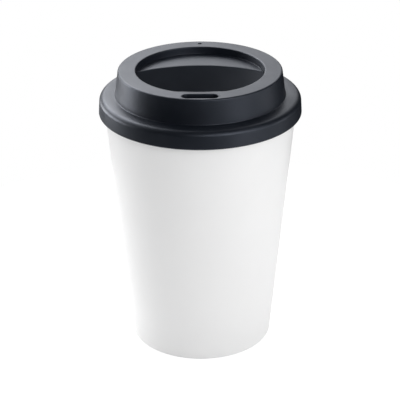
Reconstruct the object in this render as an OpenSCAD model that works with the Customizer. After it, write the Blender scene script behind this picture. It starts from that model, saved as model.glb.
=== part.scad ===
// Insulated travel cup with a press-on drinking lid.
// Millimetres. The origin is the middle of the base, +Z is up along the cup's axis and the sip slot faces -Y.

/* [Cup] */
// Radius of the cup outside, at its base
base_r = 33.4; // [31:0.1:38]
// Radius of the cup outside, at its lip
lip_r = 44.8; // [43:0.1:50]
// Height of the cup to the top of its lip
cup_h = 121; // [100:0.5:150]
// Thickness of the outer shell's side wall
shell_wall = 1.8; // [1.2:0.1:2.4]
// Thickness of the outer shell's bottom
shell_floor = 2; // [1.5:0.1:3]
// Rounding of the outer shell's bottom edge
base_round = 0.8; // [0.3:0.1:1.2]
// Height of the foot ring under the bottom
foot_h = 1.2; // [0.6:0.1:2]
// Width of the foot ring
foot_w = 4; // [3:0.1:7]

/* [Liner] */
// Thickness of the liner's side wall
liner_wall = 1.5; // [1:0.1:2.2]
// Thickness of the liner's floor
liner_floor = 1.8; // [1.2:0.1:3]
// Air gap between the walls, at the mouth
air_gap_mouth = 1.5; // [1:0.1:3]
// Air gap between the walls, at the liner's floor
air_gap_base = 3.4; // [2:0.1:5]
// Air gap under the liner's floor
air_gap_floor = 5; // [3:0.5:12]
// Rounding inside the liner, where wall and floor meet
liner_round = 6; // [4:0.5:9]
// Thickness of the lip that turns out over the shell
lip_t = 2.2; // [1.8:0.1:3]
// Rounding of the lip's two upper edges
lip_round = 1; // [0.5:0.1:1.4]
// Depth of the shoulder that centres the liner in the shell
shoulder_d = 2.5; // [1.5:0.1:5]

/* [Lid brim] */
// Thickness of the brim's flat top
brim_t = 2; // [1.6:0.1:3]
// How far the brim's skirt hangs down over the cup
skirt_drop = 6.5; // [4:0.1:12]
// Thickness of the skirt at its bottom edge
skirt_wall = 1.9; // [1.5:0.1:2.6]
// How much the skirt leans in towards its top
skirt_draft = 0.5; // [0.2:0.05:0.8]
// Rounding of the brim's upper edge
brim_round = 2.4; // [1.5:0.1:2.6]
// Rounding of the skirt's bottom edge
skirt_round = 0.5; // [0.2:0.1:0.7]

/* [Lid collar] */
// Height of the collar above the brim
collar_h = 11.7; // [9:0.1:18]
// How far the collar's foot stands inside the plug's top
collar_inset = 0.4; // [0.2:0.1:0.8]
// How much the collar leans in towards its top
collar_draft = 1.5; // [0.8:0.1:2.5]
// Thickness of the lid's walls, ledge and floor
lid_wall = 1.8; // [1.4:0.1:2]
// Rounding between the brim and the foot of the collar
collar_foot_round = 1; // [0.5:0.1:1.5]
// Rounding of the rim's outer and inner edges
rim_round = 0.9; // [0.5:0.1:1.1]

/* [Lid recess] */
// Width of the rim round the recess
rim_w = 8.2; // [7.8:0.1:9.5]
// Depth of the half-moon ledge below the rim
ledge_depth = 3.5; // [2.5:0.1:5]
// Depth of the well in front of the ledge, below the rim
well_depth = 18.8; // [14:0.1:19.5]
// Slope of the scoop that runs down from the ledge to the well's floor, in degrees
scoop_slope = 37; // [32:1:60]
// Distance of the ledge's front edge behind the axis
ledge_y = 14.2; // [10:0.1:16]
// Angle of the ledge's two corners behind the X axis, in degrees
ledge_corner = 12; // [5:0.5:15]

/* [Sip slot and vent] */
// Length of the sip slot, round ends included
slot_l = 16; // [12:0.1:18]
// Width of the sip slot
slot_w = 4.9; // [4.3:0.1:5]
// Width of the rim left in front of the slot
slot_edge = 1.9; // [1.6:0.1:2.2]
// Width of the boss round the slot, which stands into the recess behind it
boss_edge = 5.2; // [4:0.1:6]
// Slope of the boss's top, in degrees
boss_slope = 13; // [8:1:18]
// Diameter of the vent hole opposite the slot
vent_d = 1.8; // [1.2:0.1:2.4]
// Distance of the vent's centre from the rim's outer edge
vent_edge = 3.6; // [3:0.1:4.5]

/* [Plug and seal] */
// How far the plug reaches down into the mouth
plug_drop = 9; // [8:0.1:14]
// Thickness of the plug's wall
plug_wall = 2.2; // [2:0.1:3]
// Height of the seal's groove
groove_h = 3.2; // [2.4:0.1:4]
// Depth of the seal's groove
groove_d = 1; // [0.6:0.1:1.2]
// Distance of the groove above the plug's lower end
groove_z = 2.4; // [1.5:0.1:4]
// Radius of the seal's two ribs
rib_r = 0.6; // [0.4:0.05:0.75]

/* [Clearances] */
// Between the lid's underside and the cup's lip
seat_gap = 0.1; // [0.05:0.05:0.3]
// Between the skirt and the cup's widest outside radius
skirt_gap = 0.3; // [0.2:0.05:0.6]
// Between the plug and the liner
plug_gap = 0.3; // [0.2:0.05:0.6]
// Between the seal's ribs and the liner
seal_gap = 0.1; // [0.05:0.05:0.2]
// Between the seal and its groove, all round
groove_gap = 0.05; // [0.02:0.01:0.1]
// Between the liner's shoulder and the shell
shoulder_gap = 0.05; // [0.02:0.01:0.1]

/* [Hidden] */
$fn = 128;
eps = 0.5;
shell_colour = [0.93, 0.93, 0.93];
liner_colour = [0.88, 0.88, 0.87];
lid_colour = [0.1, 0.105, 0.12];
seal_colour = [0.05, 0.05, 0.055];

// Outer cone of the cup, and the inner face of the shell
cup_slope = (lip_r - base_r) / cup_h;
function cup_r(z) = base_r + cup_slope * z;
function shell_in_r(z) = cup_r(z) - shell_wall;

// Heights in the cup
floor_top = foot_h + shell_floor;
liner_under = floor_top + air_gap_floor;
liner_z = liner_under + liner_floor;
lip_z = cup_h - lip_t;

// Inside cone of the liner
mouth_r = lip_r - shell_wall - air_gap_mouth - liner_wall;
liner_base_r = shell_in_r(liner_z) - air_gap_base - liner_wall;
liner_slope = (mouth_r - liner_base_r) / (cup_h - liner_z);
function liner_r(z) = mouth_r - liner_slope * (cup_h - z);

// Heights in the lid, with the lid pressed home
brim_z = cup_h + seat_gap;
brim_top = brim_z + brim_t;
skirt_z = brim_z - skirt_drop;
rim_z = brim_top + collar_h;
ledge_z = rim_z - ledge_depth;
well_z = rim_z - well_depth;
plug_z = brim_z - plug_drop;
roof_z = rim_z - lid_wall;

// Radii in the lid
function plug_r(z) = liner_r(z) - plug_gap;
skirt_in_r = lip_r + skirt_gap;
brim_r = skirt_in_r + skirt_wall;
brim_top_r = brim_r - skirt_draft;
collar_foot_r = plug_r(brim_z) - collar_inset;
collar_top_r = collar_foot_r - collar_draft;
recess_r = collar_top_r - rim_w;
slot_y = collar_top_r - slot_edge - slot_w / 2;
vent_y = collar_top_r - vent_edge;

// Circle through the ledge's two corners and the middle of its front edge
scoop_y = (recess_r * recess_r - ledge_y * ledge_y) / (2 * (recess_r * sin(ledge_corner) - ledge_y));
scoop_r = ledge_y - scoop_y;

// Seal groove
groove_low = plug_z + groove_z;
groove_top = groove_low + groove_h;
groove_r = plug_r(groove_low) - groove_d;

// Unit vector from point a to point b
function toward(a, b) = (b - a) / norm(b - a);

// A corner p with its neighbours a and b, rounded by a circle of radius r: half the angle at the corner, the
// circle's centre, and the point where the circle meets the side that runs to a
function half_angle(p, a, b) = acos(toward(p, a) * toward(p, b)) / 2;
function round_centre(p, a, b, r) =
    p + toward([0, 0], toward(p, a) + toward(p, b)) * r / sin(half_angle(p, a, b));
function round_start(p, a, b, r) = p + toward(p, a) * r / tan(half_angle(p, a, b));

// What rounding the corner p takes away. The tip reaches past the corner, so that it cuts cleanly.
module corner_cut(p, a, b, r) {
    centre = round_centre(p, a, b, r);
    difference() {
        polygon([round_start(p, a, b, r), p + toward(centre, p) * eps, round_start(p, b, a, r)]);
        translate(centre) circle(r);
    }
}

// White tapered wall with its closed bottom and foot ring
module outer_shell() {
    foot_in_r = base_r - foot_w;
    color(shell_colour)
        rotate_extrude()
            difference() {
                polygon([
                    [0, foot_h], [foot_in_r, foot_h], [foot_in_r, 0], [base_r, 0],
                    [cup_r(lip_z), lip_z], [shell_in_r(lip_z), lip_z],
                    [shell_in_r(floor_top), floor_top], [0, floor_top]
                ]);
                corner_cut([base_r, 0], [0, 0], [cup_r(lip_z), lip_z], base_round);
            }
}

// Outline of the liner's inside, as a closed shape on the axis that is open at the mouth
module liner_inside() {
    difference() {
        polygon([
            [0, liner_z], [liner_r(liner_z), liner_z], [liner_r(cup_h + eps), cup_h + eps], [0, cup_h + eps]
        ]);
        corner_cut([liner_r(liner_z), liner_z], [0, liner_z], [mouth_r, cup_h], liner_round);
    }
}

// Inner cup with the lip that turns out over the shell
module inner_liner() {
    shoulder_z = lip_z - shoulder_d;
    outer_round = liner_round + liner_wall;
    low_r = liner_r(liner_under) + liner_wall;
    color(liner_colour)
        rotate_extrude()
            difference() {
                polygon([
                    [0, liner_under], [low_r, liner_under],
                    [liner_r(shoulder_z) + liner_wall, shoulder_z],
                    [shell_in_r(shoulder_z) - shoulder_gap, shoulder_z],
                    [shell_in_r(lip_z) - shoulder_gap, lip_z],
                    [cup_r(lip_z), lip_z], [lip_r, cup_h], [0, cup_h]
                ]);
                liner_inside();
                corner_cut([low_r, liner_under], [0, liner_under],
                    [liner_r(shoulder_z) + liner_wall, shoulder_z], outer_round);
                corner_cut([lip_r, cup_h], [0, cup_h], [cup_r(lip_z), lip_z], lip_round);
                corner_cut([mouth_r, cup_h], [lip_r, cup_h], [liner_r(lip_z), lip_z], lip_round);
            }
}

// Outside of the lid as a solid of revolution, with its edges rounded
module lid_blank() {
    foot = [collar_foot_r, brim_top];
    brim_edge = [brim_top_r, brim_top];
    rim_edge = [collar_top_r, rim_z];
    rotate_extrude()
        difference() {
            polygon([
                [0, plug_z], [plug_r(plug_z), plug_z], [plug_r(brim_z), brim_z], [skirt_in_r, brim_z],
                [skirt_in_r, skirt_z], [brim_r, skirt_z], brim_edge,
                round_start(foot, brim_edge, rim_edge, collar_foot_round),
                round_start(foot, rim_edge, brim_edge, collar_foot_round),
                rim_edge, [0, rim_z]
            ]);
            translate(round_centre(foot, brim_edge, rim_edge, collar_foot_round)) circle(collar_foot_round);
            corner_cut(brim_edge, foot, [brim_r, skirt_z], brim_round);
            corner_cut([brim_r, skirt_z], [skirt_in_r, skirt_z], brim_edge, skirt_round);
            corner_cut(rim_edge, [recess_r, rim_z], foot, rim_round);
        }
}

// Plan of the sip slot, grown by t on every side
module slot_plan(t) {
    half = (slot_l - slot_w) / 2;
    translate([0, -slot_y])
        union() {
            square([2 * half, slot_w + 2 * t], center = true);
            for (x = [-half, half]) translate([x, 0]) circle(slot_w / 2 + t);
        }
}

// Prism of the boss round the slot, from below the well's floor to above the rim, with its sides shrunk by t
module boss_prism(t) {
    translate([0, 0, well_z - t - eps]) linear_extrude(well_depth + t + 2 * eps) slot_plan(boss_edge - t);
}

// Boss with its top sloped down into the recess
module boss() {
    slope_r = recess_r + rim_round / 2;
    difference() {
        boss_prism(0);
        rotate_extrude()
            polygon([
                [0, rim_z - slope_r * tan(boss_slope)], [slope_r, rim_z], [slope_r, rim_z + 2 * eps],
                [0, rim_z + 2 * eps]
            ]);
    }
}

// Half-moon block behind the well, with its top and its sloped front shrunk by t. Its top is the ledge, and its
// front is the scoop, a cone that stands on its tip.
module ledge_block(t) {
    low = well_z - t - eps;
    top = ledge_z - t;
    function cone_r(z) = scoop_r + t / sin(scoop_slope) - (ledge_z - z) / tan(scoop_slope);
    difference() {
        translate([-collar_top_r, -collar_top_r, low]) cube([2 * collar_top_r, 2 * collar_top_r, top - low]);
        translate([0, scoop_y, low - eps])
            cylinder(r1 = cone_r(low - eps), r2 = cone_r(top + eps), h = top - low + 2 * eps);
    }
}

// Recess with the rim's inner edge rounded, down to the ledge at the back and the well's floor in front
module recess_cut() {
    difference() {
        rotate_extrude()
            union() {
                translate([0, well_z]) square([recess_r, well_depth + eps]);
                corner_cut([recess_r, rim_z], [recess_r, ledge_z], [collar_top_r, rim_z], rim_round);
            }
        ledge_block(0);
        boss();
    }
}

// Hollow under the rim and the ledge, open below
module lid_hollow() {
    difference() {
        rotate_extrude()
            polygon([
                [0, plug_z - eps], [plug_r(plug_z) - plug_wall, plug_z - eps],
                [plug_r(plug_z) - plug_wall, plug_z], [plug_r(brim_z) - plug_wall, brim_z],
                [collar_foot_r - lid_wall, brim_top], [collar_top_r - lid_wall, roof_z], [0, roof_z]
            ]);
        difference() {
            translate([0, 0, well_z - lid_wall]) cylinder(r = recess_r + lid_wall, h = well_depth);
            ledge_block(lid_wall);
            boss_prism(lid_wall);
        }
    }
}

// Groove round the plug for the seal
module groove_cut() {
    translate([0, 0, groove_low])
        difference() {
            cylinder(r = mouth_r, h = groove_h);
            translate([0, 0, -eps]) cylinder(r = groove_r, h = groove_h + 2 * eps);
        }
}

// Dark lid: plug, brim, collar, rim, ledge, well, slot and vent in one moulding
module lid() {
    color(lid_colour)
        difference() {
            lid_blank();
            recess_cut();
            lid_hollow();
            translate([0, 0, roof_z - eps]) linear_extrude(lid_wall + 2 * eps) slot_plan(0);
            groove_cut();
            translate([0, vent_y, roof_z - eps]) cylinder(d = vent_d, h = lid_wall + 2 * eps);
        }
}

// Soft ring in the plug's groove, with two ribs that reach for the liner
module seal_ring() {
    low = groove_low + groove_gap;
    top = groove_top - groove_gap;
    in_r = groove_r + groove_gap;
    band_r = plug_r(groove_low);
    color(seal_colour)
        rotate_extrude()
            union() {
                translate([in_r, low]) square([band_r - in_r, top - low]);
                intersection() {
                    for (z = [low + rib_r, top - rib_r])
                        translate([liner_r(z - rib_r) - seal_gap - rib_r, z]) circle(rib_r);
                    translate([in_r, low]) square([mouth_r - in_r, top - low]);
                }
            }
}

outer_shell();
inner_liner();
lid();
seal_ring();
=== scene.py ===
"""Looks of the insulated travel cup with its press-on drinking lid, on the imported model's frame.

Sizes are in millimetres, as in the part's source. A mesh is brought to metres once its shape is done.
The sip slot faces -Y and +Z is up along the cup's axis.
"""

import logging
import math
from abc import ABC, abstractmethod
from dataclasses import dataclass, field
from enum import Enum, IntEnum
from typing import ClassVar, Iterable, Sequence

import bmesh
import bpy
from mathutils import Matrix, Vector


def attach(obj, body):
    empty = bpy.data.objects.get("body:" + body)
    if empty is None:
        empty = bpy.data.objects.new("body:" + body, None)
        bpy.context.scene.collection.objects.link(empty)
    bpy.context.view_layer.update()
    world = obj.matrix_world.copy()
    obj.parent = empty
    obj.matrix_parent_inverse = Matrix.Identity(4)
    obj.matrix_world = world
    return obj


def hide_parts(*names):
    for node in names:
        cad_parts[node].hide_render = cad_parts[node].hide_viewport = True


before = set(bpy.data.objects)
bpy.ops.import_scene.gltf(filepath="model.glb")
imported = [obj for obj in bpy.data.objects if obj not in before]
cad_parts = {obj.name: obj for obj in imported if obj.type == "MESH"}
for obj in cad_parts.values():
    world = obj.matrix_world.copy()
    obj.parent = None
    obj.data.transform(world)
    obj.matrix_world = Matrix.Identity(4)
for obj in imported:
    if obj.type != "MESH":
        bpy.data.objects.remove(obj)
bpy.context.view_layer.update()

# One millimetre in metres, which are the scene's unit.
MM = 0.001
# How many columns of faces a turned shape has.
COLUMNS = 240
# Points that lie this close together are merged.
MERGE = 1e-3
# Heights and radii that lie this close together count as one.
CLOSE = 5e-3
# Points that lie this close to a hole's outline belong to the hole.
SLACK = 0.02
# Folds from this angle on are shaded as sharp.
SHARP_ANGLE = math.radians(33)
# Folds of the recess past this angle are rounded.
FOLD_ANGLE = math.radians(25)
# The bevel tool's profile value for a round section.
ROUND = 0.5
# How far the even shading follows the large faces, where 50 treats all faces alike.
LARGE_FACES = 100
AXIS = Vector((0, 0, 1))
ORIGIN = Vector((0, 0, 0))

log = logging.getLogger("travel_cup")


class Body(Enum):
    """The two rigid bodies of the model."""

    CUP = "cup"
    LID = "lid"


class Slot(Enum):
    """The record's material slots."""

    SHELL = "shell_white"
    LINER = "liner_white"
    LID = "lid_charcoal"
    SEAL = "seal_black"


class Steps(IntEnum):
    """How many faces lie across a rounding, more of them where more of it shows."""

    FAINT = 2
    SMALL = 3
    USUAL = 4
    LEDGE = 5
    EDGE = 6
    BRIM = 9
    BOWL = 10


@dataclass(frozen=True)
class Corner:
    """One corner of a turned profile, rounded where rounding isn't 0."""

    radius: float
    height: float
    rounding: float = 0.0
    steps: Steps = Steps.USUAL

    def point(self) -> Vector:
        """Returns the corner's place in the profile's plane."""
        return Vector((self.radius, 0, self.height))


def merge_points(bm: bmesh.types.BMesh) -> None:
    """Merges the points of a mesh that lie on one another."""
    bmesh.ops.remove_doubles(bm, verts=bm.verts[:], dist=MERGE)


def turn_out(bm: bmesh.types.BMesh) -> None:
    """Turns the faces of a mesh outwards."""
    bmesh.ops.recalc_face_normals(bm, faces=bm.faces[:])


def points_among(parts: Iterable[object]) -> list[bmesh.types.BMVert]:
    """Returns the points among the parts that a mesh tool has made."""
    return [part for part in parts if isinstance(part, bmesh.types.BMVert)]


def round_off(
    bm: bmesh.types.BMesh, vert: bmesh.types.BMVert, before: Vector, after: Vector, corner: Corner
) -> None:
    """Rounds one corner of a profile.

    Args:
        bm: The mesh that holds the profile.
        vert: The corner's vertex.
        before: The corner before it on the profile.
        after: The corner after it on the profile.
        corner: The corner itself, with its rounding.
    """
    opening = (before - vert.co).angle(after - vert.co)
    bmesh.ops.bevel(
        bm, geom=[vert], offset=corner.rounding / math.tan(opening / 2), offset_type="OFFSET",
        segments=corner.steps, profile=ROUND, affect="VERTICES", material=-1,
    )


def draw_profile(bm: bmesh.types.BMesh, corners: Sequence[Corner], closed: bool) -> None:
    """Draws a profile with rounded corners in the XZ plane.

    Args:
        bm: The mesh to draw in.
        corners: The profile's corners in order.
        closed: Whether the last corner joins the first.
    """
    points = [corner.point() for corner in corners]
    verts = [bm.verts.new(point) for point in points]
    last = len(verts) if closed else len(verts) - 1
    for i in range(last):
        bm.edges.new((verts[i], verts[(i + 1) % len(verts)]))
    for i, corner in enumerate(corners):
        if corner.rounding:
            round_off(bm, verts[i], points[i - 1], points[(i + 1) % len(points)], corner)


def turned(corners: Sequence[Corner], closed: bool = False) -> bmesh.types.BMesh:
    """Turns a profile about the cup's axis.

    Args:
        corners: The profile's corners in order.
        closed: Whether the profile is a closed ring that stays clear of the axis.

    Returns:
        A new mesh, with its poles merged.
    """
    bm = bmesh.new()
    draw_profile(bm, corners, closed)
    bmesh.ops.spin(
        bm, geom=bm.verts[:] + bm.edges[:], cent=ORIGIN, axis=AXIS, angle=math.tau, steps=COLUMNS,
        use_merge=True,
    )
    merge_points(bm)
    return bm


def bevel(bm: bmesh.types.BMesh, edges: Iterable[bmesh.types.BMEdge], width: float, steps: Steps) -> None:
    """Rounds edges.

    Args:
        bm: The mesh.
        edges: The edges to round.
        width: How far the rounding reaches on each side.
        steps: The number of faces across the rounding.
    """
    bmesh.ops.bevel(
        bm, geom=list(edges), offset=width, offset_type="OFFSET", segments=steps, profile=ROUND,
        affect="EDGES", material=-1, clamp_overlap=False,
    )


def plan_radius(point: Vector) -> float:
    """Returns a point's distance from the cup's axis."""
    return math.hypot(point.x, point.y)


def as_object(bm: bmesh.types.BMesh, name: str) -> bpy.types.Object:
    """Makes a mesh into an object and links it to the scene.

    Args:
        bm: The mesh, which is freed.
        name: The object's name.

    Returns:
        The new object.
    """
    mesh = bpy.data.meshes.new(name)
    bm.to_mesh(mesh)
    bm.free()
    made = bpy.data.objects.new(name, mesh)
    bpy.context.scene.collection.objects.link(made)
    return made


def carved(bm: bmesh.types.BMesh, cutter: bmesh.types.BMesh) -> bmesh.types.BMesh:
    """Cuts one closed mesh out of another.

    Args:
        bm: The mesh to cut, which is freed.
        cutter: The mesh to take away, which is freed.

    Returns:
        A new mesh.
    """
    turn_out(bm)
    blank = as_object(bm, "blank")
    tool = as_object(cutter, "cutter")
    cut = blank.modifiers.new("cut", "BOOLEAN")
    cut.object = tool
    cut.solver = "EXACT"
    done = bmesh.new()
    done.from_object(blank, bpy.context.evaluated_depsgraph_get())
    for made in (blank, tool):
        bpy.data.meshes.remove(made.data)
    return done


def finish_mesh(bm: bmesh.types.BMesh, name: str) -> bpy.types.Object:
    """Makes a closed mesh into an object, in metres, smooth apart from its sharp edges.

    Args:
        bm: The mesh, which is freed.
        name: The piece's name.

    Returns:
        The new object, linked to the scene.
    """
    turn_out(bm)
    for face in bm.faces:
        face.smooth = True
    for edge in bm.edges:
        edge.smooth = edge.is_manifold and edge.calc_face_angle(0) < SHARP_ANGLE
    open_edges = sum(not edge.is_manifold for edge in bm.edges)
    bmesh.ops.scale(bm, vec=(MM, MM, MM), verts=bm.verts[:])
    piece = as_object(bm, name)
    shading = piece.modifiers.new("even shading", "WEIGHTED_NORMAL")
    shading.keep_sharp = True
    shading.weight = LARGE_FACES
    log.info("%s: %d faces, %d open edges", name, len(piece.data.polygons), open_edges)
    return piece


@dataclass(frozen=True)
class MouldedPlastic:
    """Moulded plastic: mottled colour, uneven gloss, the mould's fine grain and a slow unevenness.

    The sizes and depths are in millimetres, and the low and high noise values hold nearly all of a noise.
    """

    noise_low: ClassVar[float] = 0.3
    noise_high: ClassVar[float] = 0.7
    spot_detail: ClassVar[float] = 3
    grain_detail: ClassVar[float] = 2
    wave_detail: ClassVar[float] = 0
    gloss_spots: ClassVar[float] = 2

    name: str
    colour: tuple[float, float, float]
    mottling: float
    mottle_size: float
    roughness: float
    roughness_swing: float
    specular: float
    sheen_tint: tuple[float, float, float]
    grain_size: float
    grain_depth: float
    wave_size: float
    wave_depth: float

    def noise(self, tree: bpy.types.NodeTree, size: float, detail: float) -> bpy.types.Node:
        """Adds a noise texture on Object coordinates.

        Args:
            tree: The material's nodes.
            size: The size of its spots, in millimetres.
            detail: How many finer layers it has.

        Returns:
            The noise node.
        """
        place = tree.nodes.new("ShaderNodeTexCoord")
        noise = tree.nodes.new("ShaderNodeTexNoise")
        noise.inputs["Scale"].default_value = 1 / (size * MM)
        noise.inputs["Detail"].default_value = detail
        tree.links.new(place.outputs["Object"], noise.inputs["Vector"])
        return noise

    def relief(self, tree: bpy.types.NodeTree, size: float, depth: float, detail: float) -> bpy.types.Node:
        """Adds a bump from noise.

        Args:
            tree: The material's nodes.
            size: The size of its spots, in millimetres.
            depth: The height of its spots, in millimetres.
            detail: How many finer layers it has.

        Returns:
            The bump node.
        """
        bump = tree.nodes.new("ShaderNodeBump")
        bump.inputs["Strength"].default_value = 1
        bump.inputs["Distance"].default_value = depth * MM
        tree.links.new(self.noise(tree, size, detail).outputs["Fac"], bump.inputs["Height"])
        return bump

    def spread(self, tree: bpy.types.NodeTree, size: float, low: float, high: float) -> bpy.types.NodeSocket:
        """Adds a value that wanders between two limits.

        Args:
            tree: The material's nodes.
            size: The size of its spots, in millimetres.
            low: The lower limit.
            high: The upper limit.

        Returns:
            The socket with the value.
        """
        span = tree.nodes.new("ShaderNodeMapRange")
        span.inputs["From Min"].default_value = self.noise_low
        span.inputs["From Max"].default_value = self.noise_high
        span.inputs["To Min"].default_value = low
        span.inputs["To Max"].default_value = high
        tree.links.new(self.noise(tree, size, self.spot_detail).outputs["Fac"], span.inputs["Value"])
        return span.outputs["Result"]

    def build(self) -> bpy.types.Material:
        """Makes the material.

        Returns:
            The new material.
        """
        material = bpy.data.materials.new(self.name)
        material.use_nodes = True
        tree = material.node_tree
        shader = tree.nodes["Principled BSDF"]
        mix = tree.nodes.new("ShaderNodeMix")
        mix.data_type = "RGBA"
        low, high = 1 - self.mottling, 1 + self.mottling
        mix.inputs["A"].default_value = (*(low * part for part in self.colour), 1)
        mix.inputs["B"].default_value = (*(high * part for part in self.colour), 1)
        tree.links.new(self.spread(tree, self.mottle_size, 0, 1), mix.inputs["Factor"])
        tree.links.new(mix.outputs["Result"], shader.inputs["Base Color"])
        shiny, dull = self.roughness - self.roughness_swing, self.roughness + self.roughness_swing
        gloss = self.spread(tree, self.gloss_spots * self.mottle_size, shiny, dull)
        tree.links.new(gloss, shader.inputs["Roughness"])
        shader.inputs["Specular IOR Level"].default_value = self.specular
        shader.inputs["Specular Tint"].default_value = (*self.sheen_tint, 1)
        grain = self.relief(tree, self.grain_size, self.grain_depth, self.grain_detail)
        wave = self.relief(tree, self.wave_size, self.wave_depth, self.wave_detail)
        tree.links.new(wave.outputs["Normal"], grain.inputs["Normal"])
        tree.links.new(grain.outputs["Normal"], shader.inputs["Normal"])
        return material


@dataclass(frozen=True)
class Finishes:
    """The finishes of the cup's four pieces."""

    shell: MouldedPlastic = MouldedPlastic(
        name="satin white shell", colour=(0.86, 0.86, 0.862), mottling=0.008, mottle_size=22,
        roughness=0.42, roughness_swing=0.03, specular=0.5, sheen_tint=(1, 1, 1),
        grain_size=0.55, grain_depth=0.006, wave_size=26, wave_depth=0.02,
    )
    liner: MouldedPlastic = MouldedPlastic(
        name="smooth white liner", colour=(0.8, 0.8, 0.79), mottling=0.01, mottle_size=18,
        roughness=0.3, roughness_swing=0.03, specular=0.5, sheen_tint=(1, 1, 1),
        grain_size=0.5, grain_depth=0.003, wave_size=22, wave_depth=0.02,
    )
    lid: MouldedPlastic = MouldedPlastic(
        name="matte charcoal lid", colour=(0.0036, 0.0056, 0.0096), mottling=0.06, mottle_size=6,
        roughness=0.44, roughness_swing=0.03, specular=0.85, sheen_tint=(0.76, 0.83, 1),
        grain_size=0.5, grain_depth=0.016, wave_size=24, wave_depth=0.02,
    )
    seal: MouldedPlastic = MouldedPlastic(
        name="soft black seal", colour=(0.012, 0.012, 0.013), mottling=0.08, mottle_size=4,
        roughness=0.62, roughness_swing=0.05, specular=0.3, sheen_tint=(1, 1, 1),
        grain_size=0.35, grain_depth=0.01, wave_size=9, wave_depth=0.02,
    )


@dataclass
class Piece(ABC):
    """What every piece has: its name, node, body, slot and finish."""

    name: ClassVar[str]
    node: ClassVar[str]
    body: ClassVar[Body]
    slot: ClassVar[Slot]

    finish: MouldedPlastic

    @abstractmethod
    def mesh(self) -> bmesh.types.BMesh:
        """Returns the piece's mesh, in millimetres."""

    def make(self) -> bpy.types.Object:
        """Builds the piece, dresses it and puts it on its body.

        Returns:
            The finished piece.
        """
        piece = finish_mesh(self.mesh(), self.name)
        piece.data.materials.append(self.finish.build())
        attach(piece, self.body.value)
        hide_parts(self.node)
        log.info("%s stands for %s on body %s", self.name, self.node, self.body.value)
        return piece


@dataclass(frozen=True)
class CupSizes:
    """Sizes that the shell, the liner and the lid share."""

    base_r: float = 33.4
    lip_r: float = 44.8
    height: float = 121.0
    shell_wall: float = 1.8
    floor_top: float = 3.2
    liner_under: float = 8.2
    liner_floor: float = 10.0
    liner_wall: float = 1.5
    mouth_r: float = 40.0
    liner_base_r: float = 27.642
    seam_height: float = 118.8

    def outside(self, height: float) -> float:
        """Returns the cup's outer radius at a height."""
        return self.base_r + (self.lip_r - self.base_r) * height / self.height

    def shell_inside(self, height: float) -> float:
        """Returns the shell's inner radius at a height."""
        return self.outside(height) - self.shell_wall

    def liner_inside(self, height: float) -> float:
        """Returns the liner's inner radius at a height."""
        share = (height - self.liner_floor) / (self.height - self.liner_floor)
        return self.liner_base_r + (self.mouth_r - self.liner_base_r) * share


CUP = CupSizes()


@dataclass
class OuterShell(Piece):
    """White tapered wall with its closed bottom, foot ring and the mark of the mould's gate."""

    name = "shell_wall"
    node = "outer_shell"
    body = Body.CUP
    slot = Slot.SHELL

    foot_height: float = 1.2
    foot_width: float = 4.0
    foot_slope: float = 0.2
    foot_round: float = 0.5
    base_round: float = 0.8
    floor_round: float = 1.2
    seam_round: float = 0.25
    gate_r: float = 3.0
    gate_depth: float = 0.5
    gate_slope: float = 0.4
    gate_round: float = 0.2
    nub_r: float = 0.9
    nub_height: float = 0.25
    nub_slope: float = 0.15
    nub_round: float = 0.1

    def mesh(self) -> bmesh.types.BMesh:
        """Returns the shell, turned in one closed profile from pole to pole."""
        seam = CUP.seam_height
        foot_in_r = CUP.base_r - self.foot_width
        gate_top = self.foot_height + self.gate_depth
        nub_end = gate_top - self.nub_height
        return turned([
            Corner(0, nub_end),
            Corner(self.nub_r, nub_end, self.nub_round, Steps.FAINT),
            Corner(self.nub_r + self.nub_slope, gate_top, self.nub_round, Steps.FAINT),
            Corner(self.gate_r, gate_top, self.gate_round, Steps.SMALL),
            Corner(self.gate_r + self.gate_slope, self.foot_height, self.gate_round, Steps.SMALL),
            Corner(foot_in_r, self.foot_height, self.foot_round),
            Corner(foot_in_r + self.foot_slope, 0, self.foot_round),
            Corner(CUP.base_r, 0, self.base_round, Steps.EDGE),
            Corner(CUP.outside(seam), seam, self.seam_round, Steps.SMALL),
            Corner(CUP.shell_inside(seam), seam, self.seam_round, Steps.SMALL),
            Corner(CUP.shell_inside(CUP.floor_top), CUP.floor_top, self.floor_round),
            Corner(0, CUP.floor_top),
        ])


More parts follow.
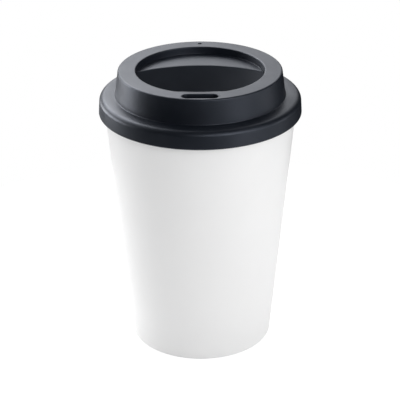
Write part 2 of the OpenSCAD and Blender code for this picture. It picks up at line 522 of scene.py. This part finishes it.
@dataclass
class InnerLiner(Piece):
    """Inner cup that holds the drink, with its lip turned out over the shell."""

    name = "liner_wall"
    node = "inner_liner"
    body = Body.CUP
    slot = Slot.LINER

    lip_round: float = 1.0
    floor_round: float = 6.0
    shoulder_depth: float = 2.5
    shoulder_gap: float = 0.05
    shoulder_round: float = 0.3
    seam_round: float = 0.25
    dimple_r: float = 2.6
    dimple_floor_r: float = 2.3
    dimple_depth: float = 0.2
    dimple_round: float = 0.2

    def mesh(self) -> bmesh.types.BMesh:
        """Returns the liner, turned in one closed profile from pole to pole."""
        seam = CUP.seam_height
        shoulder = seam - self.shoulder_depth
        wall = CUP.liner_wall
        low_r = CUP.liner_inside(CUP.liner_under) + wall
        shoulder_in_r = CUP.liner_inside(shoulder) + wall
        shoulder_out_r = CUP.shell_inside(shoulder) - self.shoulder_gap
        dimple_floor = CUP.liner_floor - self.dimple_depth
        return turned([
            Corner(0, CUP.liner_under),
            Corner(low_r, CUP.liner_under, self.floor_round + wall, Steps.BOWL),
            Corner(shoulder_in_r, shoulder, self.shoulder_round, Steps.FAINT),
            Corner(shoulder_out_r, shoulder, self.shoulder_round, Steps.FAINT),
            Corner(CUP.shell_inside(seam) - self.shoulder_gap, seam),
            Corner(CUP.outside(seam), seam, self.seam_round, Steps.SMALL),
            Corner(CUP.lip_r, CUP.height, self.lip_round, Steps.EDGE),
            Corner(CUP.mouth_r, CUP.height, self.lip_round, Steps.EDGE),
            Corner(CUP.liner_base_r, CUP.liner_floor, self.floor_round, Steps.BOWL),
            Corner(self.dimple_r, CUP.liner_floor, self.dimple_round, Steps.FAINT),
            Corner(self.dimple_floor_r, dimple_floor, self.dimple_round, Steps.FAINT),
            Corner(0, dimple_floor),
        ])


@dataclass
class SealRing(Piece):
    """Soft ring in the groove of the lid's plug, with two ribs that reach for the liner."""

    name = "seal_band"
    node = "seal_ring"
    body = Body.LID
    slot = Slot.SEAL

    low: float = 114.55
    high: float = 117.65
    inner_r: float = 38.026
    inner_round: float = 0.15
    band_r: float = 38.976
    rib_width: float = 1.2
    rib_gap: float = 0.1
    rib_round: float = 0.3
    crest_share: float = 0.5

    def rib(self, height: float) -> list[Corner]:
        """Returns the corners of one rib.

        Args:
            height: The height of the rib's middle.

        Returns:
            Its corners, from below.
        """
        half = self.rib_width / 2
        crest_half = half * self.crest_share
        crest_r = CUP.liner_inside(height) - self.rib_gap
        return [
            Corner(self.band_r, height - half),
            Corner(crest_r, height - crest_half, self.rib_round, Steps.SMALL),
            Corner(crest_r, height + crest_half, self.rib_round, Steps.SMALL),
            Corner(self.band_r, height + half),
        ]

    def mesh(self) -> bmesh.types.BMesh:
        """Returns the ring, turned from a closed profile."""
        half = self.rib_width / 2
        return turned([
            Corner(self.inner_r, self.low, self.inner_round, Steps.FAINT),
            *self.rib(self.low + half),
            *self.rib(self.high - half),
            Corner(self.inner_r, self.high, self.inner_round, Steps.FAINT),
        ], closed=True)


@dataclass
class Boss:
    """Plan of the boss round the sip slot, which stands into the recess from its wall."""

    recess_r: float
    slot_y: float
    half_length: float
    radius: float
    foot_round: float
    reach_angle: float = field(init=False)
    end: Vector = field(init=False)
    foot: Vector = field(init=False)
    end_angle: float = field(init=False)
    lengths: tuple[float, float, float] = field(init=False)

    def __post_init__(self) -> None:
        """Works out where the boss's end meets its foot rounding, and the rounding the recess's wall."""
        reach = math.hypot(self.half_length, self.slot_y)
        round_r = self.recess_r - self.foot_round
        away = self.radius + self.foot_round
        swing = math.acos((reach ** 2 + round_r ** 2 - away ** 2) / (2 * reach * round_r))
        self.reach_angle = math.atan2(self.half_length, self.slot_y) + swing
        self.end = Vector((self.half_length, -self.slot_y))
        self.foot = Vector((math.sin(self.reach_angle), -math.cos(self.reach_angle))) * round_r
        self.end_angle = Vector((0, 1)).angle(self.foot - self.end)
        foot_angle = self.end_angle + self.reach_angle
        self.lengths = (self.half_length, self.radius * self.end_angle, self.foot_round * foot_angle)

    def outline(self, angle: float) -> tuple[Vector, Vector]:
        """Follows the boss's outline from its middle towards +X.

        Args:
            angle: The angle from -Y, which stands for the share of the outline.

        Returns:
            The point of the outline, and its normal into the boss.
        """
        run = angle / self.reach_angle * sum(self.lengths)
        straight, end, _ = self.lengths
        if run <= straight:
            return Vector((run, -self.slot_y + self.radius)), Vector((0, -1))
        if run <= straight + end:
            turn = (run - straight) / self.radius
            out = Vector((math.sin(turn), math.cos(turn)))
            return self.end + out * self.radius, -out
        turn = self.end_angle - (run - straight - end) / self.foot_round
        out = Vector((math.sin(turn), math.cos(turn)))
        return self.foot - out * self.foot_round, -out

    def place(self, point: Vector) -> tuple[Vector, Vector] | None:
        """Finds the outline's point for a point of the recess's wall.

        Args:
            point: A point of the lid.

        Returns:
            The point of the outline and its normal, or nothing away from the boss.
        """
        angle = math.atan2(point.x, -point.y)
        if abs(angle) > self.reach_angle:
            return None
        spot, normal = self.outline(abs(angle))
        side = math.copysign(1, angle)
        return Vector((side * spot.x, spot.y)), Vector((side * normal.x, normal.y))


@dataclass
class RecessBottom:
    """Bottom of the recess, or of its underside: the half-moon ledge, the scoop and the well's floor.

    The scoop is a cone round an upright axis in front of the cup. It starts at the ledge's front edge.
    """

    half_column: ClassVar[float] = 0.5

    radius: float
    ledge: float
    floor: float
    columns: int
    front: float
    slope: float
    corner: Vector = field(init=False)
    centre: Vector = field(init=False)
    brink_r: float = field(init=False)
    sweep: float = field(init=False)
    steps: int = field(init=False)
    foot_r: float = field(init=False)

    def __post_init__(self) -> None:
        """Works out the scoop's axis and its radii at the ledge and at the floor.

        The scoop's foot meets the wall at the column that is nearest to where the cone reaches the floor.
        """
        self.corner = self.on_ring(self.columns, self.ledge)
        centre_y = (self.radius ** 2 - self.front ** 2) / (2 * (self.corner.y - self.front))
        self.centre = Vector((0, centre_y, self.ledge))
        self.brink_r = self.front - centre_y
        self.sweep = 2 * math.atan2(self.corner.x, self.corner.y - centre_y)
        self.steps = COLUMNS // 2 - 2 * self.columns
        drop = self.ledge - self.floor
        tip = self.columns
        while self.fall(self.on_ring(tip - self.half_column, 0)) < drop:
            tip -= 1
        self.foot_r = self.reach(self.on_ring(tip, 0))

    def on_ring(self, column: float, height: float) -> Vector:
        """Returns the point of the recess's wall at a column, counted backwards from the X axis."""
        turn = column * math.tau / COLUMNS
        return Vector((self.radius * math.cos(turn), self.radius * math.sin(turn), height))

    def reach(self, point: Vector) -> float:
        """Returns a point's distance from the scoop's axis."""
        return math.hypot(point.x, point.y - self.centre.y)

    def fall(self, point: Vector) -> float:
        """Returns how far the scoop's cone lies below the ledge at a point."""
        return (self.brink_r - self.reach(point)) * math.tan(self.slope)

    def height(self, point: Vector) -> float:
        """Returns the bottom's height at a point of the recess's wall."""
        if self.reach(point) < self.foot_r + CLOSE:
            return self.floor
        return self.ledge - max(0.0, self.fall(point))

    def foot(self, point: Vector) -> Vector:
        """Returns the scoop's foot below a point of the scoop."""
        share = self.foot_r / self.reach(point)
        return Vector((point.x * share, self.centre.y + (point.y - self.centre.y) * share, self.floor))

    def meets_scoop(self, edge: bmesh.types.BMEdge) -> bool:
        """Says whether an edge of the recess's wall is where the scoop meets it."""
        heights = [vert.co.z for vert in edge.verts]
        return min(heights) < self.ledge - CLOSE and max(heights) > self.floor + CLOSE


@dataclass
class Lid(Piece):
    """Dark lid: plug, skirt, brim, collar, rim, half-moon ledge, scoop, boss, sip slot and vent.

    The crease rings are circles of points on the rim that crease its top where the boss's slope starts.
    Each has its distance from the recess's wall, and the least radius that it keeps beside the boss.
    The boss moves no point that lies farther from the wall than the deepest ring.
    """

    name = "lid_moulding"
    node = "lid"
    body = Body.LID
    slot = Slot.LID

    crease_rings: ClassVar[tuple[tuple[float, float], ...]] = ((1.0, 27.9), (1.1, 29.8), (1.2, 30.35))
    deepest_ring: ClassVar[float] = 2.3

    skirt_low: float = 114.6
    skirt_in_r: float = 45.1
    skirt_round: float = 0.5
    skirt_in_round: float = 0.3
    brim_r: float = 47.0
    brim_top_r: float = 46.5
    brim_under: float = 121.1
    brim_under_round: float = 0.4
    brim_top: float = 123.1
    brim_round: float = 2.6
    crown_r: float = 42.6
    crown_slope: float = math.radians(6)
    crown_round: float = 24.0
    collar_foot_r: float = 39.311
    collar_foot_round: float = 0.5
    collar_top_r: float = 37.811
    rim: float = 134.8
    rim_round: float = 0.9
    rim_in_round: float = 0.5
    wall: float = 1.8
    hollow_round: float = 1.5
    roof_round: float = 0.5
    roof_in_round: float = 0.4
    plug_low: float = 112.1
    plug_gap: float = 0.3
    plug_wall: float = 2.2
    plug_round: float = 0.6
    plug_in_round: float = 0.4
    groove_low: float = 114.5
    groove_high: float = 117.7
    groove_r: float = 37.976
    groove_round: float = 0.15
    recess_r: float = 29.611
    joint_rise: float = 1.1
    ledge: float = 131.3
    ledge_columns: int = 8
    ledge_y: float = 14.2
    ledge_round: float = 0.4
    ledge_foot_round: float = 0.25
    tip_clear: float = 1.8
    scoop_slope: float = math.radians(37)
    well_floor: float = 116.0
    well_round: float = 0.6
    slot_length: float = 16.0
    slot_width: float = 4.9
    slot_y: float = 33.461
    slot_round: float = 0.45
    slot_steps: int = 64
    boss_edge: float = 5.2
    boss_slope: float = math.radians(13)
    boss_crease_r: float = 30.06
    boss_foot_round: float = 1.6
    vent_y: float = 34.211
    vent_r: float = 0.9
    vent_round: float = 0.2
    vent_steps: int = 32
    cut_past: float = 0.5
    bottom: RecessBottom = field(init=False)
    boss: Boss = field(init=False)

    def __post_init__(self) -> None:
        """Places the recess's bottom and the boss."""
        self.bottom = RecessBottom(
            radius=self.recess_r,
            ledge=self.ledge,
            floor=self.well_floor,
            columns=self.ledge_columns,
            front=self.ledge_y,
            slope=self.scoop_slope,
        )
        self.boss = Boss(
            recess_r=self.recess_r,
            slot_y=self.slot_y,
            half_length=(self.slot_length - self.slot_width) / 2,
            radius=self.slot_width / 2 + self.boss_edge,
            foot_round=self.boss_foot_round,
        )

    def underside(self) -> RecessBottom:
        """Returns the underside of the recess's bottom, a wall's thickness away from it."""
        return RecessBottom(
            radius=self.recess_r + self.wall,
            ledge=self.ledge - self.wall,
            floor=self.well_floor - self.wall,
            columns=self.ledge_columns - 1,
            front=self.ledge_y + self.wall * math.tan(self.scoop_slope / 2),
            slope=self.scoop_slope,
        )

    def plug_r(self, height: float) -> float:
        """Returns the plug's outer radius at a height."""
        return CUP.liner_inside(height) - self.plug_gap

    def turned_part(self) -> bmesh.types.BMesh:
        """Turns all that runs round the axis, from the recess's wall over the rim and back under it.

        Returns:
            A mesh that is open at the recess's wall, inside and out.
        """
        roof_under = self.rim - self.wall
        joint = self.ledge + self.joint_rise
        crown_drop = (self.brim_top_r - self.crown_r) * math.tan(self.crown_slope)
        plug_top_r, plug_low_r = self.plug_r(self.brim_under), self.plug_r(self.plug_low)
        return turned([
            Corner(self.recess_r, joint),
            Corner(self.recess_r, self.rim, self.rim_in_round, Steps.EDGE),
            *(Corner(self.recess_r + step, self.rim) for step, _ in self.crease_rings),
            Corner(self.collar_top_r, self.rim, self.rim_round, Steps.EDGE),
            Corner(self.collar_foot_r, self.brim_top, self.collar_foot_round, Steps.EDGE),
            Corner(self.crown_r, self.brim_top, self.crown_round),
            Corner(self.brim_top_r, self.brim_top - crown_drop, self.brim_round, Steps.BRIM),
            Corner(self.brim_r, self.skirt_low, self.skirt_round),
            Corner(self.skirt_in_r, self.skirt_low, self.skirt_in_round, Steps.SMALL),
            Corner(self.skirt_in_r, self.brim_under, self.brim_under_round, Steps.SMALL),
            Corner(plug_top_r, self.brim_under, self.brim_under_round, Steps.SMALL),
            Corner(self.plug_r(self.groove_high), self.groove_high, self.groove_round, Steps.FAINT),
            Corner(self.groove_r, self.groove_high),
            Corner(self.groove_r, self.groove_low),
            Corner(self.plug_r(self.groove_low), self.groove_low, self.groove_round, Steps.FAINT),
            Corner(plug_low_r, self.plug_low, self.plug_round),
            Corner(plug_low_r - self.plug_wall, self.plug_low, self.plug_in_round, Steps.SMALL),
            Corner(plug_top_r - self.plug_wall, self.brim_under, self.hollow_round),
            Corner(self.collar_foot_r - self.wall, self.brim_top, self.hollow_round),
            Corner(self.collar_top_r - self.wall, roof_under, self.roof_round, Steps.SMALL),
            Corner(self.recess_r + self.wall, roof_under, self.roof_in_round, Steps.SMALL),
            Corner(self.recess_r + self.wall, joint - self.wall),
        ])

    def open_ring(self, bm: bmesh.types.BMesh, radius: float) -> list[bmesh.types.BMEdge]:
        """Finds an open ring of edges.

        Args:
            bm: The mesh.
            radius: The ring's radius.

        Returns:
            Its edges.
        """
        return [
            edge for edge in bm.edges
            if edge.is_boundary and abs(plan_radius(edge.verts[0].co) - radius) < CLOSE
        ]

    def add_bottom(self, bm: bmesh.types.BMesh, bottom: RecessBottom) -> None:
        """Closes an open ring of the recess's wall with the half-moon ledge, the scoop and the well's floor.

        Args:
            bm: The mesh.
            bottom: The recess's bottom, which knows the ring's radius.
        """
        wall = bmesh.ops.extrude_edge_only(bm, edges=self.open_ring(bm, bottom.radius))["geom"]
        for vert in points_among(wall):
            vert.co.z = bottom.height(vert.co)
        corner = bm.verts.new(bottom.corner)
        bmesh.ops.spin(
            bm, geom=[corner], cent=bottom.centre, axis=AXIS, angle=bottom.sweep, steps=bottom.steps,
            use_merge=False,
        )
        merge_points(bm)
        brink = [edge for edge in bm.edges if edge.is_wire]
        brink += [edge for edge in self.open_ring(bm, bottom.radius) if bottom.meets_scoop(edge)]
        for vert in points_among(bmesh.ops.extrude_edge_only(bm, edges=brink)["geom"]):
            vert.co = bottom.foot(vert.co)
        merge_points(bm)
        for height in (bottom.ledge, bottom.floor):
            bmesh.ops.edgeloop_fill(bm, edges=[
                edge for edge in bm.edges if edge.is_boundary and self.level(edge, height)
            ])

    def push_in_boss(self, bm: bmesh.types.BMesh) -> None:
        """Pushes the recess's wall in round the sip slot, and slopes the boss's top into the recess.

        Args:
            bm: The lid's mesh, with its recess still round.
        """
        for vert in bm.verts:
            step = plan_radius(vert.co) - self.recess_r
            placed = self.boss.place(vert.co)
            if placed is None or not -CLOSE < step < self.deepest_ring:
                continue
            spot, normal = placed
            edge = spot + normal * self.rim_in_round
            on_top = vert.co.z > self.rim - self.rim_in_round - CLOSE
            height = vert.co.z
            moved = spot + normal * step
            for ring_step, ring_r in self.crease_rings:
                if on_top and abs(step - ring_step) < CLOSE:
                    moved = edge.normalized() * max(ring_r, edge.length + ring_step - self.rim_in_round)
            if on_top:
                full = self.recess_r + self.rim_in_round
                share = min(1.0, max(0.0, full - edge.length))
                height -= share * max(0.0, self.boss_crease_r - moved.length) * math.tan(self.boss_slope)
            vert.co = Vector((moved.x, moved.y, height))

    def round_recess(self, bm: bmesh.types.BMesh) -> None:
        """Rounds the ledge's front edge and its foot, and the edge of the well's floor.

        Args:
            bm: The lid's mesh.
        """
        turn_out(bm)
        foot = [edge for edge in self.folds(bm, self.ledge, dented=True) if not self.at_tip(edge)]
        bevel(bm, foot, self.ledge_foot_round, Steps.SMALL)
        bevel(bm, self.folds(bm, self.ledge, dented=False), self.ledge_round, Steps.LEDGE)
        bevel(bm, self.folds(bm, self.well_floor, dented=True), self.well_round, Steps.USUAL)

    def folds(self, bm: bmesh.types.BMesh, height: float, dented: bool) -> list[bmesh.types.BMEdge]:
        """Finds the sharp edges that lie at a height.

        Args:
            bm: The lid's mesh.
            height: The height.
            dented: Whether to take the inward edges, and not the outward ones.

        Returns:
            The edges.
        """
        return [
            edge for edge in bm.edges
            if self.level(edge, height) and edge.is_convex != dented
            and edge.calc_face_angle(0) > FOLD_ANGLE
        ]

    def at_tip(self, edge: bmesh.types.BMEdge) -> bool:
        """Says whether an edge is so close to a tip of the ledge that two roundings would overlap there."""
        right = self.bottom.corner
        left = Vector((-right.x, right.y, right.z))
        return any((vert.co - tip).length < self.tip_clear for vert in edge.verts for tip in (right, left))

    def level(self, edge: bmesh.types.BMEdge, height: float) -> bool:
        """Says whether an edge lies at a height."""
        return all(abs(vert.co.z - height) < CLOSE for vert in edge.verts)

    def hole_cutter(self) -> bmesh.types.BMesh:
        """Returns the shape that cuts the sip slot and the vent through the rim."""
        bm = bmesh.new()
        low = self.rim - self.wall - self.cut_past
        half_step = Matrix.Rotation(math.pi / self.slot_steps, 4, "Z")
        ends = bmesh.ops.create_circle(
            bm, cap_ends=True, segments=self.slot_steps, radius=self.slot_width / 2, matrix=half_step
        )["verts"]
        for vert in ends:
            vert.co.x += math.copysign(self.boss.half_length, vert.co.x)
        bmesh.ops.translate(bm, verts=ends, vec=(0, -self.slot_y, low))
        hole = bmesh.ops.create_circle(
            bm, cap_ends=True, segments=self.vent_steps, radius=self.vent_r
        )["verts"]
        bmesh.ops.translate(bm, verts=hole, vec=(0, self.vent_y, low))
        grown = bmesh.ops.extrude_face_region(bm, geom=bm.faces[:], use_keep_orig=True)["geom"]
        bmesh.ops.translate(bm, verts=points_among(grown), vec=(0, 0, self.wall + 2 * self.cut_past))
        turn_out(bm)
        return bm

    def from_slot(self, point: Vector) -> float:
        """Returns a point's distance from the sip slot's middle line, in plan."""
        beside = max(0.0, abs(point.x) - self.boss.half_length)
        return math.hypot(beside, point.y + self.slot_y)

    def round_holes(self, bm: bmesh.types.BMesh) -> None:
        """Rounds the upper edges of the sip slot and the vent.

        Args:
            bm: The lid's mesh, with its holes cut.
        """
        vent = Vector((0, self.vent_y, self.rim))
        slot_r = self.slot_width / 2
        top = [edge for edge in bm.edges if self.level(edge, self.rim)]
        slot = [
            edge for edge in top
            if all(abs(self.from_slot(vert.co) - slot_r) < SLACK for vert in edge.verts)
        ]
        hole = [
            edge for edge in top
            if all(abs((vert.co - vent).length - self.vent_r) < SLACK for vert in edge.verts)
        ]
        bevel(bm, slot, self.slot_round, Steps.USUAL)
        bevel(bm, [edge for edge in hole if edge.is_valid], self.vent_round, Steps.FAINT)

    def mesh(self) -> bmesh.types.BMesh:
        """Returns the lid: turned, closed below, pushed in for the boss, rounded and cut."""
        bm = self.turned_part()
        self.add_bottom(bm, self.bottom)
        self.add_bottom(bm, self.underside())
        self.push_in_boss(bm)
        self.round_recess(bm)
        bm = carved(bm, self.hole_cutter())
        self.round_holes(bm)
        return bm


@dataclass(frozen=True)
class Camera:
    """The photograph's camera: its place, lens and sensor in millimetres, and its angles in degrees."""

    distance: float = 662.47
    height: float = 385.63
    aside: float = -0.39
    pitch: float = 25.602
    roll: float = -0.344
    lens: float = 138.605
    sensor: float = 36.0
    nearest: float = 10.0

    def make(self) -> bpy.types.Object:
        """Makes the scene's camera.

        Returns:
            The camera object.
        """
        data = bpy.data.cameras.new("camera")
        data.lens = self.lens
        data.sensor_width = self.sensor
        data.clip_start = self.nearest * MM
        camera = bpy.data.objects.new("camera", data)
        place = Matrix.Translation(Vector((self.aside, -self.distance, self.height)) * MM)
        tilt = Matrix.Rotation(math.radians(90 - self.pitch), 4, "X")
        camera.matrix_world = place @ tilt @ Matrix.Rotation(math.radians(self.roll), 4, "Z")
        bpy.context.scene.collection.objects.link(camera)
        bpy.context.scene.camera = camera
        return camera


@dataclass(frozen=True)
class SoftBox:
    """A soft box that faces the middle of the cup.

    Its azimuth counts in degrees from the front to the right, and its lengths are in metres.
    """

    name: str
    azimuth: float
    elevation: float
    radiance: float
    height: float = 0.45
    width: float = 0.55
    distance: float = 1.1
    aim_height: float = 0.08

    def make(self) -> bpy.types.Object:
        """Makes the lamp.

        Returns:
            The lamp object.
        """
        data = bpy.data.lights.new(self.name, "AREA")
        data.shape = "RECTANGLE"
        data.size = self.width
        data.size_y = self.height
        data.energy = self.radiance * math.pi * self.width * self.height
        lamp = bpy.data.objects.new(self.name, data)
        turn, rise = math.radians(self.azimuth), math.radians(self.elevation)
        away = Vector((math.sin(turn) * math.cos(rise), -math.cos(turn) * math.cos(rise), math.sin(rise)))
        target = Vector((0, 0, self.aim_height))
        lamp.location = target + away * self.distance
        lamp.rotation_euler = away.to_track_quat("Z", "Y").to_euler()
        bpy.context.scene.collection.objects.link(lamp)
        return lamp


@dataclass(frozen=True)
class Studio:
    """White floor, white backdrop and plain soft light.

    The camera meets the floor and the world as white. A gloss shows the floor and the backdrop, a soft
    white spot of the world behind the cup. Other rays meet the floor's own colour and a plain world.
    The floor's sizes are in metres.
    """

    floor_r: float = 0.2
    floor_under: float = 5e-5
    floor_sides: int = 128
    floor_white: float = 0.7
    glow_share: float = 0.8
    glow: float = 1.2
    ambient: float = 0.56
    backdrop_rise: float = math.radians(40)
    backdrop_edge: float = math.radians(40)
    backdrop_full: float = math.radians(14)
    lamps: tuple[SoftBox, ...] = (
        SoftBox("low key on the left", azimuth=250, elevation=2, radiance=5.98),
        SoftBox("high key behind", azimuth=210, elevation=36, radiance=3.69),
        SoftBox("low key behind on the left", azimuth=230, elevation=2, radiance=3.55),
        SoftBox("high key behind on the left", azimuth=235, elevation=36, radiance=3.11),
        SoftBox("fill on the right", azimuth=45, elevation=25, radiance=2.74, height=0.5),
        SoftBox("fill in front", azimuth=20, elevation=25, radiance=2.12, height=0.5),
        SoftBox("high key behind on the right", azimuth=190, elevation=36, radiance=1.97),
        SoftBox("edge light on the right", azimuth=95, elevation=2, radiance=1.19),
        SoftBox("low fill on the right", azimuth=60, elevation=2, radiance=1.16),
        SoftBox("top key behind", azimuth=205, elevation=48, radiance=0.96, height=0.55),
        SoftBox("backdrop light", azimuth=180, elevation=2, radiance=0.94),
        SoftBox("table light on the right", azimuth=45, elevation=-18, radiance=0.82),
        SoftBox("middle key behind", azimuth=200, elevation=25, radiance=0.73, height=0.5),
        SoftBox("table light on the far right", azimuth=95, elevation=-18, radiance=0.22),
    )

    def greater(
        self, tree: bpy.types.NodeTree, one: bpy.types.NodeSocket, other: bpy.types.NodeSocket
    ) -> bpy.types.NodeSocket:
        """Adds the greater of two values.

        Args:
            tree: The nodes to add to.
            one: The first value.
            other: The second value.

        Returns:
            The socket with the greater value.
        """
        node = tree.nodes.new("ShaderNodeMath")
        node.operation = "MAXIMUM"
        tree.links.new(one, node.inputs[0])
        tree.links.new(other, node.inputs[1])
        return node.outputs["Value"]

    def seen(self, tree: bpy.types.NodeTree, path: bpy.types.Node) -> bpy.types.NodeSocket:
        """Adds a value that is 1 for rays that are seen, straight, in a gloss or through glass.

        Args:
            tree: The nodes to add to.
            path: The light path's node.

        Returns:
            The socket with the value.
        """
        mirrored = self.greater(tree, path.outputs["Is Glossy Ray"], path.outputs["Is Transmission Ray"])
        return self.greater(tree, path.outputs["Is Camera Ray"], mirrored)

    def floor_material(self) -> bpy.types.Material:
        """Makes the floor's material: white, nearly without shading where it is seen, and clear from below.

        Returns:
            The new material.
        """
        material = bpy.data.materials.new("white floor")
        material.use_nodes = True
        tree = material.node_tree
        tree.nodes.clear()
        output = tree.nodes.new("ShaderNodeOutputMaterial")
        diffuse = tree.nodes.new("ShaderNodeBsdfDiffuse")
        diffuse.inputs["Color"].default_value = (self.floor_white, self.floor_white, self.floor_white, 1)
        glow = tree.nodes.new("ShaderNodeEmission")
        glow.inputs["Strength"].default_value = self.glow
        clear = tree.nodes.new("ShaderNodeBsdfTransparent")
        path = tree.nodes.new("ShaderNodeLightPath")
        share = tree.nodes.new("ShaderNodeMath")
        share.operation = "MULTIPLY"
        share.inputs[1].default_value = self.glow_share
        tree.links.new(self.seen(tree, path), share.inputs[0])
        white = tree.nodes.new("ShaderNodeMixShader")
        tree.links.new(share.outputs["Value"], white.inputs["Fac"])
        tree.links.new(diffuse.outputs["BSDF"], white.inputs[1])
        tree.links.new(glow.outputs["Emission"], white.inputs[2])
        side = tree.nodes.new("ShaderNodeNewGeometry")
        two_sided = tree.nodes.new("ShaderNodeMixShader")
        tree.links.new(side.outputs["Backfacing"], two_sided.inputs["Fac"])
        tree.links.new(white.outputs["Shader"], two_sided.inputs[1])
        tree.links.new(clear.outputs["BSDF"], two_sided.inputs[2])
        tree.links.new(two_sided.outputs["Shader"], output.inputs["Surface"])
        return material

    def make_floor(self) -> bpy.types.Object:
        """Makes the floor, a disc just under the cup.

        Returns:
            The floor object.
        """
        bm = bmesh.new()
        bmesh.ops.create_circle(bm, cap_ends=True, segments=self.floor_sides, radius=self.floor_r)
        bmesh.ops.translate(bm, verts=bm.verts[:], vec=(0, 0, -self.floor_under))
        floor = as_object(bm, "floor")
        floor.data.materials.append(self.floor_material())
        return floor

    def make_world(self) -> None:
        """Makes the world: white for the camera, the backdrop for a gloss, and plain light otherwise."""
        world = bpy.data.worlds.new("studio")
        world.use_nodes = True
        tree = world.node_tree
        plain = tree.nodes["Background"]
        plain.inputs["Strength"].default_value = self.ambient
        plain.inputs["Color"].default_value = (1, 1, 1, 1)
        white = tree.nodes.new("ShaderNodeBackground")
        white.inputs["Color"].default_value = (1, 1, 1, 1)
        place = tree.nodes.new("ShaderNodeTexCoord")
        toward = tree.nodes.new("ShaderNodeVectorMath")
        toward.operation = "DOT_PRODUCT"
        toward.inputs[1].default_value = (0, math.cos(self.backdrop_rise), math.sin(self.backdrop_rise))
        tree.links.new(place.outputs["Generated"], toward.inputs[0])
        backdrop = tree.nodes.new("ShaderNodeMapRange")
        backdrop.interpolation_type = "SMOOTHSTEP"
        backdrop.inputs["From Min"].default_value = math.cos(self.backdrop_edge)
        backdrop.inputs["From Max"].default_value = math.cos(self.backdrop_full)
        tree.links.new(toward.outputs["Value"], backdrop.inputs["Value"])
        path = tree.nodes.new("ShaderNodeLightPath")
        shown = self.greater(tree, path.outputs["Is Camera Ray"], backdrop.outputs["Result"])
        tree.links.new(shown, white.inputs["Strength"])
        pick = tree.nodes.new("ShaderNodeMixShader")
        tree.links.new(self.seen(tree, path), pick.inputs["Fac"])
        tree.links.new(plain.outputs["Background"], pick.inputs[1])
        tree.links.new(white.outputs["Background"], pick.inputs[2])
        tree.links.new(pick.outputs["Shader"], tree.nodes["World Output"].inputs["Surface"])
        bpy.context.scene.world = world

    def make(self) -> None:
        """Makes the floor, the world and the lamps."""
        bpy.context.scene.view_settings.view_transform = "Standard"
        self.make_floor()
        self.make_world()
        for lamp in self.lamps:
            lamp.make()


def main() -> None:
    """Builds the pieces in order."""
    logging.basicConfig(level=logging.INFO, format="%(name)s: %(message)s")
    finishes = Finishes()
    for piece in (
        OuterShell(finishes.shell), InnerLiner(finishes.liner), Lid(finishes.lid), SealRing(finishes.seal)
    ):
        piece.make()
    Studio().make()
    Camera().make()


if __name__ == "__main__":
    main()
